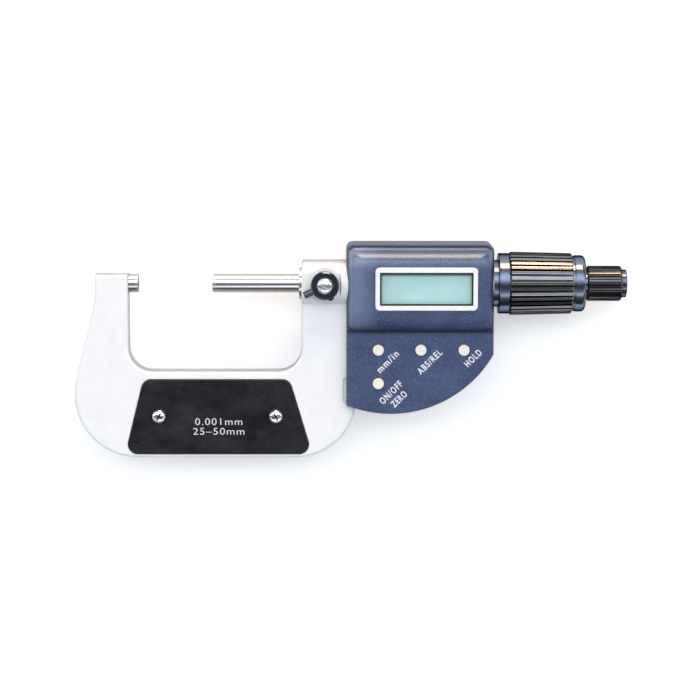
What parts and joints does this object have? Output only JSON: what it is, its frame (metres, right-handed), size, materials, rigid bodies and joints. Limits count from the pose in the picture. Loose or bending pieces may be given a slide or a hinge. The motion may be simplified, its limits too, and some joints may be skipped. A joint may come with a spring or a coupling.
{
  "type": "digital outside micrometer",
  "caption": "Outside micrometer with a C-shaped frame, cover plates, a display housing with buttons, a ribbed thimble, ratchet stop and spindle lock.",
  "frame": {"origin": "centre of the anvil's measuring face, on the spindle's axis", "axes": "+X along the spindle from the anvil to the ratchet, +Y away from the throat, +Z out of the display"},
  "size_m": [0.1981, 0.0771, 0.0243],
  "materials": {
    "frame_paint": "satin silver enamel on the casting",
    "ground_steel": "ground and polished hardened steel",
    "carbide": "lapped hard-metal tips",
    "chrome": "bright plated screw heads",
    "black_plate": "gloss black heat-insulating plate",
    "black_metal": "black oxide, satin",
    "housing": "fine-textured dark blue-grey moulding",
    "bezel": "bright silver-white bezel",
    "window": "clear window",
    "gasket": "black seal and silicone domes",
    "lcd": "grey-green liquid crystal panel",
    "board": "green circuit board",
    "button": "cream button cap",
    "brass": "turned brass",
    "plain_steel": "plain steel"
  },
  "bodies": {
    "frame": {"frame": "frame_paint", "anvil": "ground_steel", "anvil_tip": "carbide", "spindle_bush": "ground_steel", "lock_plug": "brass", "front_plate": "black_plate", "back_plate": "black_plate", "front_plate_screws": "chrome", "back_plate_screws": "chrome", "sleeve": "ground_steel", "outer_sleeve": "black_metal", "adjusting_nut": "brass", "stator_disc": "board", "front_shell": "housing", "rear_shell": "housing", "housing_screws": "plain_steel", "display_bezel": "bezel", "display_window": "window", "display_gasket": "gasket", "lcd_panel": "lcd", "display_board": "board", "main_board": "board", "dome_units": "gasket", "dome_mode": "gasket", "dome_hold": "gasket", "dome_power": "gasket", "battery": "plain_steel", "battery_contact": "brass"},
    "rotor": {"rotor_disc": "board", "rotor_hub": "brass", "rotor_key": "ground_steel"},
    "spindle": {"spindle": "ground_steel", "spindle_tip": "carbide", "thimble": "black_metal", "grip": "black_metal", "thimble_cap": "black_metal", "ratchet_core": "ground_steel", "ratchet_spring": "plain_steel", "ratchet_end_disc": "black_metal"},
    "ratchet_knob": {"ratchet_knob": "black_metal"},
    "click_ring": {"click_ring": "ground_steel"},
    "lock": {"lock_ring": "black_metal", "lock_lever": "black_metal", "lock_stud": "ground_steel", "lock_screw": "chrome"},
    "button_units": {"button_units": "button"},
    "button_mode": {"button_mode": "button"},
    "button_hold": {"button_hold": "button"},
    "button_power": {"button_power": "button"},
    "battery_cap": {"battery_cap": "housing"}
  },
  "joints": [
    {"name": "thimble_turn", "type": "hinge", "parent": "frame", "child": "rotor", "pos_m": [0.0845, 0, 0], "axis": [1, 0, 0], "range_deg": [-1080, 16920]},
    {"name": "spindle_feed", "type": "slide", "parent": "rotor", "child": "spindle", "axis": [1, 0, 0], "range_m": [-0.0015, 0.0235]},
    {"name": "ratchet_turn", "type": "hinge", "parent": "spindle", "child": "ratchet_knob", "pos_m": [0.167, 0, 0], "axis": [1, 0, 0], "continuous": true},
    {"name": "ratchet_lift", "type": "slide", "parent": "spindle", "child": "click_ring", "axis": [1, 0, 0], "range_m": [0, 0.00055], "stiffness_N_per_m": 2000, "springref_m": -0.001, "deforming": ["ratchet_spring"]},
    {"name": "lock_turn", "type": "hinge", "parent": "frame", "child": "lock", "pos_m": [0.0668, 0, 0.0095], "axis": [0, 0, 1], "range_deg": [-60, 0]},
    {"name": "battery_cap_turn", "type": "hinge", "parent": "frame", "child": "battery_cap", "pos_m": [0.102, -0.031, -0.0105], "axis": [0, 0, -1], "range_deg": [0, 60]},
    {"name": "units_press", "type": "slide", "parent": "frame", "child": "button_units", "axis": [0, 0, -1], "range_m": [0, 0.0006], "stiffness_N_per_m": 800, "springref_m": -0.0005, "deforming": ["dome_units"]},
    {"name": "mode_press", "type": "slide", "parent": "frame", "child": "button_mode", "axis": [0, 0, -1], "range_m": [0, 0.0006], "stiffness_N_per_m": 800, "springref_m": -0.0005, "deforming": ["dome_mode"]},
    {"name": "hold_press", "type": "slide", "parent": "frame", "child": "button_hold", "axis": [0, 0, -1], "range_m": [0, 0.0006], "stiffness_N_per_m": 800, "springref_m": -0.0005, "deforming": ["dome_hold"]},
    {"name": "power_press", "type": "slide", "parent": "frame", "child": "button_power", "axis": [0, 0, -1], "range_m": [0, 0.0006], "stiffness_N_per_m": 800, "springref_m": -0.0005, "deforming": ["dome_power"]}
  ],
  "couplings": [
    {"joint": "thimble_turn", "follows": "spindle_feed", "rad_per_m": 12566}
  ]
}
